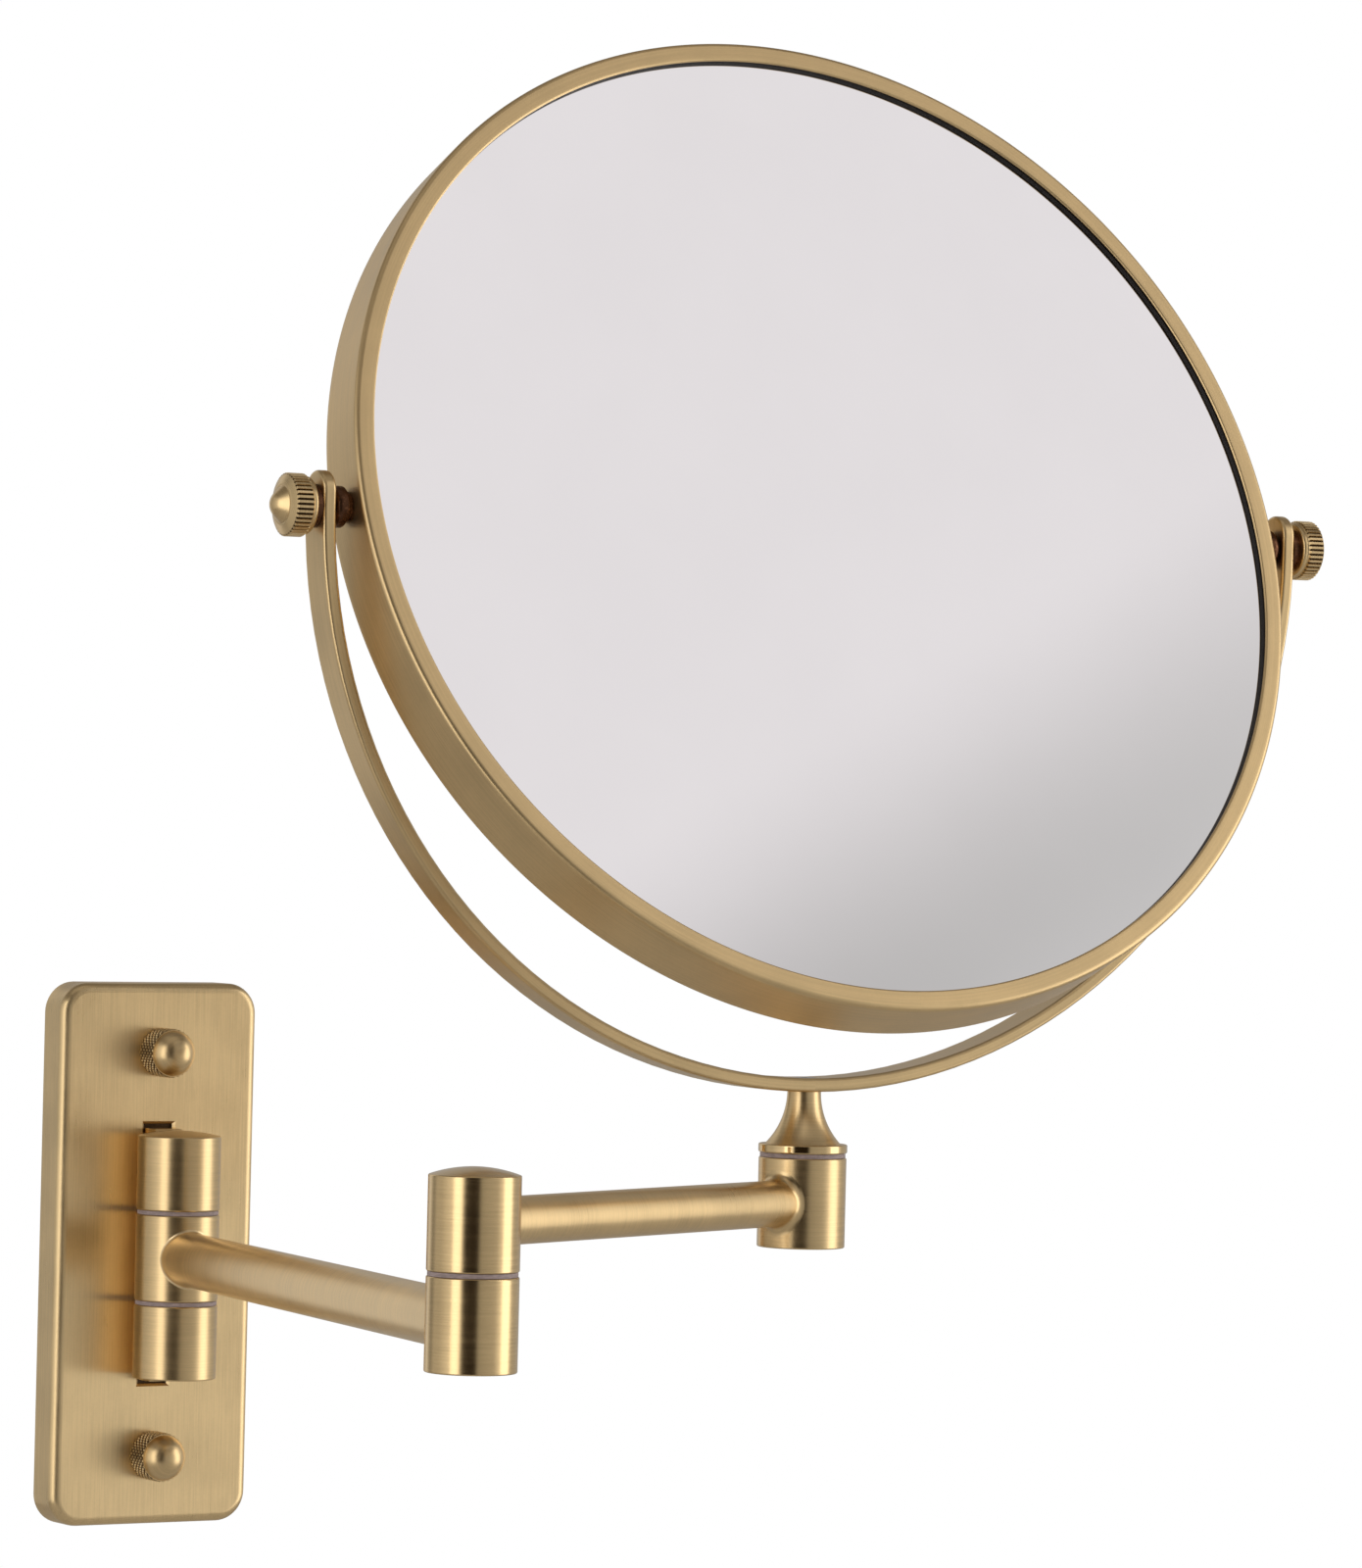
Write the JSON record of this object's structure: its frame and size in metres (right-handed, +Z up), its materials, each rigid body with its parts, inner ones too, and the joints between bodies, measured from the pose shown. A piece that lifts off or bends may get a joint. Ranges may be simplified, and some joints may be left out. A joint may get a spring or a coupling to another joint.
{
  "type": "extendable makeup mirror",
  "caption": "Round tilting makeup mirror in a half-ring yoke on a double-jointed brass wall arm, with a rounded rectangular wall plate.",
  "frame": {"origin": "centre of the wall plate's back face, on the wall plane", "axes": "+Y into the wall, the object comes out towards -Y, +Z up, +X to the right as seen from the room"},
  "size_m": [0.2618, 0.2172, 0.3364],
  "materials": {
    "plate_brass": "satin, fine brushed lines",
    "steel": "zinc plated, satin",
    "knurled_brass": "knurled, satin",
    "turned_brass": "satin, fine turning lines round the barrels",
    "blackened_steel": "blackened, matte",
    "nylon": "pale, matte",
    "tube_brass": "satin, brushed along the tube",
    "polished_brass": "polished",
    "rim_brass": "satin, spun",
    "mirror_glass": "silvered glass, clean",
    "gasket_rubber": "matte",
    "filler": "pressed board, matte",
    "bronze": "dark brown, oil rubbed"
  },
  "bodies": {
    "wall_bracket": {"cover_plate": "plate_brass", "mounting_strap": "steel", "upper_stud": "steel", "lower_stud": "steel", "upper_hinge_barrel": "turned_brass", "lower_hinge_barrel": "turned_brass", "hinge_back_plate": "blackened_steel", "lug_screws": "blackened_steel", "upper_hinge_washer": "nylon", "lower_hinge_washer": "nylon", "hinge_screw": "steel", "hinge_spring_washer": "steel"},
    "lower_arm": {"wall_knuckle": "turned_brass", "lower_arm_tube": "tube_brass", "elbow_lower_barrel": "turned_brass", "elbow_washer": "nylon"},
    "upper_arm": {"elbow_upper_barrel": "turned_brass", "upper_arm_tube": "tube_brass", "end_barrel": "turned_brass", "elbow_screw": "steel", "elbow_spring_washer": "steel", "swivel_washer": "nylon"},
    "yoke": {"yoke_stem": "polished_brass", "yoke_strip": "rim_brass", "yoke_screw": "steel", "swivel_screw": "steel", "swivel_spring_washer": "steel", "left_pivot_washer": "bronze", "right_pivot_washer": "bronze"},
    "mirror": {"front_rim": "rim_brass", "rear_rim": "rim_brass", "plain_glass": "mirror_glass", "magnifying_glass": "mirror_glass", "front_gasket": "gasket_rubber", "rear_gasket": "gasket_rubber", "backing_disc": "filler", "glass_spacer_ring": "filler", "left_pivot_stud": "steel", "left_pivot_spacer": "bronze", "right_pivot_stud": "steel", "right_pivot_spacer": "bronze"},
    "left_pivot_knob": {"left_knob": "knurled_brass"},
    "right_pivot_knob": {"right_knob": "knurled_brass"},
    "upper_nut": {"upper_thumb_nut": "knurled_brass"},
    "lower_nut": {"lower_thumb_nut": "knurled_brass"}
  },
  "joints": [
    {"name": "wall_hinge", "type": "hinge", "parent": "wall_bracket", "child": "lower_arm", "pos_m": [0, -0.02, 0], "axis": [0, 0, 1], "range_deg": [-81, 99]},
    {"name": "elbow_hinge", "type": "hinge", "parent": "lower_arm", "child": "upper_arm", "pos_m": [-0.02972, -0.20766, 0], "axis": [0, 0, 1], "continuous": true},
    {"name": "yoke_swivel", "type": "hinge", "parent": "upper_arm", "child": "yoke", "pos_m": [0.0799, -0.15885, 0], "axis": [0, 0, 1], "continuous": true},
    {"name": "mirror_tilt", "type": "hinge", "parent": "yoke", "child": "mirror", "pos_m": [0.0799, -0.15885, 0.1665], "axis": [0.9988, -0.0489, 0], "continuous": true},
    {"name": "left_knob_turn", "type": "hinge", "parent": "mirror", "child": "left_pivot_knob", "pos_m": [0.0799, -0.15885, 0.1665], "axis": [-0.9988, 0.0489, 0], "continuous": true},
    {"name": "right_knob_turn", "type": "hinge", "parent": "mirror", "child": "right_pivot_knob", "pos_m": [0.0799, -0.15885, 0.1665], "axis": [0.9988, -0.0489, 0], "continuous": true},
    {"name": "upper_nut_turn", "type": "hinge", "parent": "wall_bracket", "child": "upper_nut", "pos_m": [0, -0.0095, 0.0462], "axis": [0, -1, 0], "continuous": true},
    {"name": "lower_nut_turn", "type": "hinge", "parent": "wall_bracket", "child": "lower_nut", "pos_m": [0, -0.0095, -0.0462], "axis": [0, -1, 0], "continuous": true}
  ]
}
